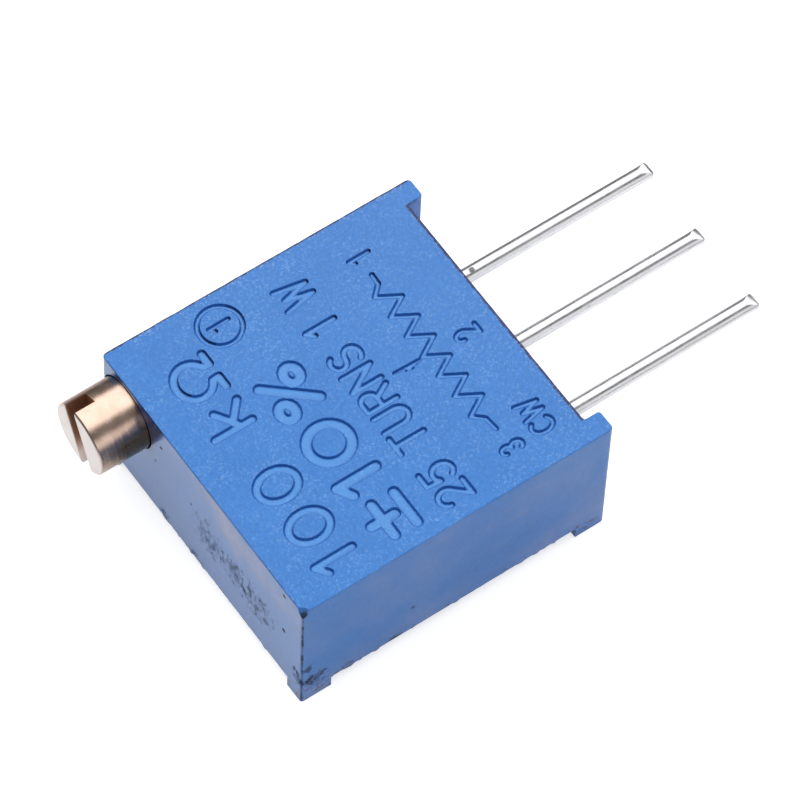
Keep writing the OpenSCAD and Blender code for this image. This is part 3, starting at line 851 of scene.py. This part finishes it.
def screwHead():
    # turned from bar: a chamfered rim, faint tool rings, then the slot sawn across, a little off its middle
    s, count = screw, screw["around"]
    outer = screwLow.x / mm
    x0 = outer + s["clear"]
    radius = s["diameter"] / 2 - s["clear"]
    flat = radius - s["bevel"]
    profile = [(x0, 0.25), (x0, flat - 0.1), (x0, flat - 0.012)]
    profile += [(x0 + s["bevel"] * u, flat + s["bevel"] * v)
                for u, v in ((0.06, 0.06), (0.92, 0.9), (1.05, 0.98))]
    x, end = x0 + s["bevel"] + 0.03, outer + s["out"] + s["joint"]
    while x < end:
        profile.append((x, radius - s["ringDepth"] * (1 + bumpy(x, 0, 0, 0.09, 9))))
        x += s["ringPitch"]
    profile.append((end, radius))
    verts = [Vector((x0, axisY, axisZ)) * mm, Vector((end, axisY, axisZ)) * mm]
    for x, r in profile:
        for k in range(count):
            a = 2 * pi * k / count
            verts.append(Vector((x, axisY + r * sin(a), axisZ + r * cos(a))) * mm)
    last = 2 + (len(profile) - 1) * count
    faces = facesBetween(len(profile), count, 2)
    faces += [(0, 2 + (k + 1) % count, 2 + k) for k in range(count)]
    faces += [(1, last + k, last + (k + 1) % count) for k in range(count)]
    head = newObject("screw_turned", meshFrom("screw_turned", verts, faces))
    saw = block("saw", ((x0 - 1) * mm, (s["slotAside"] - s["slotWidth"] / 2) * mm, -2 * mm),
                ((outer + s["slotDepth"]) * mm, (s["slotAside"] + s["slotWidth"] / 2) * mm, 2 * mm))
    turned = Matrix.Rotation(radians(-s["slotTurn"]), 4, "X")
    saw.data.transform(Matrix.Translation((0, axisY * mm, axisZ * mm)) @ turned)
    combine(head, saw, "DIFFERENCE")
    soften = head.modifiers.new("burrs", "BEVEL")
    soften.width, soften.segments, soften.limit_method = s["burr"] * mm, 2, "ANGLE"
    soften.angle_limit = radians(40)
    applied(head)
    inner = cadCopy("adjusting_screw")
    cutAt = screwLow.x + (s["out"] + s["joint"] - 0.1) * mm
    combine(inner, block("gone", (-0.02, -0.02, -0.02), (cutAt, 0.02, 0.02)), "DIFFERENCE")
    return combine(head, inner, "UNION")


# the fourth colour below paints shade and a dark reflection on the barrel near the bore
brassLook = {"colours": {"dark": "#D9BAA1", "bright": "#F5D8CB", "tarnish": "#85664F", "stain": "#564930",
                         # the first two colours on this line paint shade and light in the slot
                         "slotTop": "#B58E76", "slotLow": "#F0DACC", "end": "#DFD8D5", "pit": "#4E3B2E"},
             "gloss": (0.2, 0.3), "slotRougher": 0.25, "endRougher": 0.2, "relief": 0.003}


def turnedBrass():
    # leaded brass bar, turned and then handled: warm and bright with faint tool rings every 0.06 mm, dull
    # brown in the slot with painted shade and light in it, painted shade and dark reflection near the bore,
    # and paler on the parted end
    s = screw
    tone = {name: linear(code) for name, code in brassLook["colours"].items()}
    material, node, place = newMaterial("turnedBrass")
    centred = node("VectorMath.SUBTRACT", place, (screwLow.x / mm, axisY, axisZ))
    xyz = node("SeparateXYZ", centred).outputs
    cloud = node("TexNoise", {"Vector": centred, "Scale": 1 / 0.35, "Detail": 5, "Roughness": 0.6})
    # tarnish in patches of 0.5 mm, made heavier near the bore as painted shade
    tarnish = node("TexNoise", {"Vector": centred, "Scale": 1 / 0.5, "Detail": 5, "Distortion": 0.8})
    shadeNearBore = node("MapRange", xyz["X"], 0.5, s["out"], 0, 0.16)
    dull = node("Math.ADD", tarnish, shadeNearBore)
    dullness = node("MapRange", dull, 0.45, 0.9, 0, 0.4)
    # painted shade and dark reflection: the barrel darker on one side near the bore, where it mirrors the
    # shaded face
    towards = node("VectorMath.DOT_PRODUCT", centred, (0, -0.94, -0.34))
    shadedSide = node("MapRange", towards, 0.5, 0.84)
    byBore = node("MapRange", xyz["X"], 0.1, 0.8, 0.4, 0.92)
    stained = node("Math.MULTIPLY", shadedSide, byBore)
    # the slot is what lies between the sawn walls; its colour is painted shade at its upper end and painted
    # light at its lower end
    turn = radians(s["slotTurn"])
    across = node("VectorMath.DOT_PRODUCT", centred, (0, cos(turn), -sin(turn)))
    across = node("Math.SUBTRACT", across, s["slotAside"])
    aside = node("Math.ABSOLUTE", across)
    between = node("MapRange", aside, s["slotWidth"] / 2 + 0.012, s["slotWidth"] / 2 + 0.004)
    outside = node("MapRange", xyz["X"], s["slotDepth"] + 0.03, s["slotDepth"] + 0.01)
    inSlot = node("Math.MULTIPLY", between, outside)
    litSide = node("MapRange", xyz["Z"], -0.25, -0.75)
    slotShadeAndLight = node("Mix", {0: litSide, 6: tone["slotTop"], 7: tone["slotLow"]}, data_type="RGBA")
    onEnd = node("MapRange", xyz["X"], s["bevel"] * 0.7, s["bevel"] * 0.3)
    pits = node("TexNoise", {"Vector": centred, "Scale": 1 / 0.07, "Detail": 3, "Roughness": 0.7})
    pitted = node("MapRange", pits, 0.67, 0.75, 0, 0.6)
    colour = node("Mix", {0: cloud, 6: tone["dark"], 7: tone["bright"]}, data_type="RGBA")
    for amount, over in ((dullness, tone["tarnish"]), (stained, tone["stain"]), (inSlot, slotShadeAndLight),
                         (onEnd, tone["end"]), (pitted, tone["pit"])):
        colour = node("Mix", {0: amount, 6: colour, 7: over}, data_type="RGBA")
    rings = node("TexNoise", {"W": xyz["X"], "Scale": 1 / 0.06, "Detail": 2}, noise_dimensions="1D")
    ringHeight = node("Math.MULTIPLY", rings, 0.5)
    height = node("Math.MULTIPLY_ADD", cloud, 0.5, ringHeight)
    relief = node("Bump", {"Height": height, "Distance": brassLook["relief"] * mm})
    gloss = node("MapRange", cloud, 0.3, 0.7, *brassLook["gloss"])
    for where, rougher in ((inSlot, "slotRougher"), (onEnd, "endRougher")):
        gloss = node("Math.MULTIPLY_ADD", where, brassLook[rougher], gloss)
    shader = node("BsdfPrincipled", {"Base Color": colour, "Metallic": 1, "Roughness": gloss,
                                     "Normal": relief})
    node("OutputMaterial", shader)
    return material


head = screwHead()
dress(head, turnedBrass(), 35)
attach(head, "screw")
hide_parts("adjusting_screw")
print("screw:", len(head.data.polygons), "faces")


# leads

leads = {"diameter": 0.48, "shorter": (0.02, 0.12, 0.14), "joint": 0.3, "slip": 0.004, "uneven": 0.006,
         "flare": 0.1, "flareOver": 0.5, "facets": ((19, 0.105), (50, 0.03)),  # tilt, start off the middle
         "cornerCut": 0.085, "cornerTurns": ((30, 0.62), (58, 0.8))}


def wireTree():
    # a drawn wire along X: a line with a little unevenness, swept with a round section
    tree, node, given = geometryTree("drawnWire", [
        ("Radius", "Float", leads["diameter"] / 2 * mm), ("Unevenness", "Float", leads["uneven"] * mm),
        ("Start", "Vector", None), ("End", "Vector", None), ("Finish", "Material", None)])
    line = node("GeometryNodeCurvePrimitiveLine", {"Start": given["Start"], "End": given["End"]})
    fine = node("GeometryNodeResampleCurve", {"Curve": line, "Count": 60})
    place = node("GeometryNodeInputPosition")
    wave = node("TexNoise", {"Vector": place, "Scale": 1 / (1.8 * mm), "Detail": 1})
    centred = node("VectorMath.SUBTRACT", wave.outputs["Color"], (0.5, 0.5, 0.5))
    sideways = node("VectorMath.MULTIPLY", centred, (0, 1, 1))
    push = node("VectorMath.SCALE", {0: sideways, "Scale": given["Unevenness"]})
    moved = node("GeometryNodeSetPosition", {"Geometry": fine, "Offset": push})
    ring = node("GeometryNodeCurvePrimitiveCircle", {"Resolution": 40, "Radius": given["Radius"]})
    swept = node("GeometryNodeCurveToMesh", {"Curve": moved, "Profile Curve": ring, "Fill Caps": True})
    real = node("GeometryNodeRealizeInstances", {"Geometry": swept})
    finished = node("GeometryNodeSetMaterial", {"Geometry": real, "Material": given["Finish"]})
    node("NodeGroupOutput", finished)
    return tree


def nip(obj, point, normal):
    # cut flat with pincers: everything beyond the plane goes and the cut is closed
    work = bmesh.new()
    work.from_mesh(obj.data)
    cut = bmesh.ops.bisect_plane(work, geom=work.verts[:] + work.edges[:] + work.faces[:], plane_co=point,
                                 plane_no=normal, clear_outer=True)
    rim = [e for e in cut["geom_cut"] if isinstance(e, bmesh.types.BMEdge)]
    bmesh.ops.edgenet_fill(work, edges=rim)
    bmesh.ops.recalc_face_normals(work, faces=work.faces)
    work.to_mesh(obj.data)
    work.free()


def buildLead(number, tree, finish):
    s = leads
    low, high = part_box("terminal_%d" % number)
    y, z = (low.y + high.y) / 2, high.z - s["diameter"] / 2 * mm
    faceX = caseHigh.x - housing["stepBack"] * mm
    radius = (s["diameter"] / 2 - s["slip"]) * mm
    tip = high.x - s["shorter"][number - 1] * mm
    wire = newObject("lead_%d" % number, bpy.data.meshes.new("lead_%d" % number))
    runTree(wire, tree, {"Radius": radius, "Start": (faceX - s["joint"] * mm, y, z), "End": (tip, y, z),
                         "Finish": finish})
    # the pincers spread the end a little sideways before they part it
    for v in wire.data.vertices:
        t = max(0, 1 - (tip - v.co.x) / (s["flareOver"] * mm))
        v.co.y = y + (v.co.y - y) * (1 + s["flare"] * t * t)
    spread, cut = radius * (1 + s["flare"]), s["cornerCut"] * mm
    for side in (1, -1):
        for tilt, start in s["facets"]:
            a = radians(tilt)
            nip(wire, (tip, y, z + side * start * mm), (sin(a), 0, side * cos(a)))
        for turn, share in s["cornerTurns"]:  # the parted end has no sharp corners
            a = radians(turn)
            corner = (tip - cut * (1 - share), y + side * (spread - cut * share), z)
            nip(wire, corner, (cos(a), side * sin(a), 0))
    inner = cadCopy("terminal_%d" % number)
    gone = block("gone", (faceX - (s["joint"] - 0.05) * mm, -0.02, -0.02), (0.02, 0.02, 0.02))
    combine(inner, gone, "DIFFERENCE")
    return combine(wire, inner, "UNION")


tinnedLook = {"colours": {"dark": "#DADADF", "bright": "#F7F7F8", "scratch": "#9A9AA2", "spot": "#3A3733"},
              "spotOut": 1.1, "spotAside": 0.02, "gloss": (0.22, 0.36), "relief": 0.0025}


def tinnedWire(spotAt):
    # copper-clad wire, hot tinned: bright and cool, with drawing lines along it, dull grey scratches and
    # one dark spot
    tone = {name: linear(code) for name, code in tinnedLook["colours"].items()}
    material, node, place = newMaterial("tinnedCopperWire")
    along = node("VectorMath.MULTIPLY", place, (0.12, 1, 1))
    lines = node("TexNoise", {"Vector": along, "Scale": 1 / 0.05, "Detail": 3})
    blotch = node("TexNoise", {"Vector": place, "Scale": 1 / 0.6, "Detail": 5, "Roughness": 0.65})
    scratch = node("Math.MULTIPLY", lines, blotch)
    scratched = node("MapRange", scratch, 0.3, 0.42, 0, 0.5)
    near = node("MapRange", node("VectorMath.DISTANCE", place, spotAt), 0.16, 0.04)
    spot = node("Math.MULTIPLY", near, lines)
    stained = node("MapRange", spot, 0.2, 0.4, 0, 0.85)
    colour = node("Mix", {0: blotch, 6: tone["dark"], 7: tone["bright"]}, data_type="RGBA")
    for amount, over in ((scratched, "scratch"), (stained, "spot")):
        colour = node("Mix", {0: amount, 6: colour, 7: tone[over]}, data_type="RGBA")
    relief = node("Bump", {"Height": lines, "Distance": tinnedLook["relief"] * mm})
    gloss = node("MapRange", blotch, 0.3, 0.7, *tinnedLook["gloss"])
    shader = node("BsdfPrincipled", {"Base Color": colour, "Metallic": 1, "Roughness": gloss,
                                     "Normal": relief})
    node("OutputMaterial", shader)
    return material


firstLow, firstHigh = (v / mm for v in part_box("terminal_1"))
spotAt = Vector((caseHigh.x / mm - housing["stepBack"] + tinnedLook["spotOut"],
                 (firstLow.y + firstHigh.y) / 2 - tinnedLook["spotAside"], firstHigh.z))
tinned = tinnedWire(spotAt)
wireNodes = wireTree()
for number in (1, 2, 3):
    lead = buildLead(number, wireNodes, tinned)
    dress(lead, tinned, 35)
    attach(lead, "case")
    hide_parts("terminal_%d" % number)
print("leads ready")


# finishes of the nodes that keep their shape

def finishNodes(material, *names):
    for name in names:
        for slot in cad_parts[name].material_slots:
            slot.material = material


# bright and smooth where it froze
finishNodes(plain("tinSolder", "#C9CCD2", 0.25, 1), "solder_1", "solder_2", "solder_3")
# screened and fired: satin, grainy and a little yellow
finishNodes(plain("firedSilverFilm", "#C8C4BA", 0.5, 1, 0.05), "collector_ring", "end_pad_1", "end_pad_3")
finishNodes(plain("siliconeRubber", "#8C3A2C", 0.55, 0, 0.05, 0.1), "screw_seal")  # matt brick red
finishNodes(plain("springSteelClip", "#B8BABD", 0.3, 1, 0.08), "screw_clip")  # cool, with a rolled sheen
finishNodes(plain("mouldedNylon", "#EDE6D2", 0.4, 0, 0.3, 0.06), "worm_wheel")  # milky and even
finishNodes(plain("berylliumCopper", "#D29A6C", 0.28, 1, 0.1), "wiper_spring")  # warm, bright strip
finishNodes(plain("preciousWire", "#D9D4C4", 0.25, 1, 0.05), "wiper_brush")  # bright, never tarnished
finishNodes(plain("firedAlumina", "#F2EFE8", 0.6, 0, 0.04, 0.05), "ceramic_base")  # white, dry, fine grained
finishNodes(plain("cermetInk", "#2C2F33", 0.5, 0, 0.03, 0.3), "resistive_track")  # near black and dull
finishNodes(plain("pottingEpoxy", "#5E6E86", 0.3, 0, 0.5, 0.15), "potting")  # slate blue, poured smooth
print("finishes set")
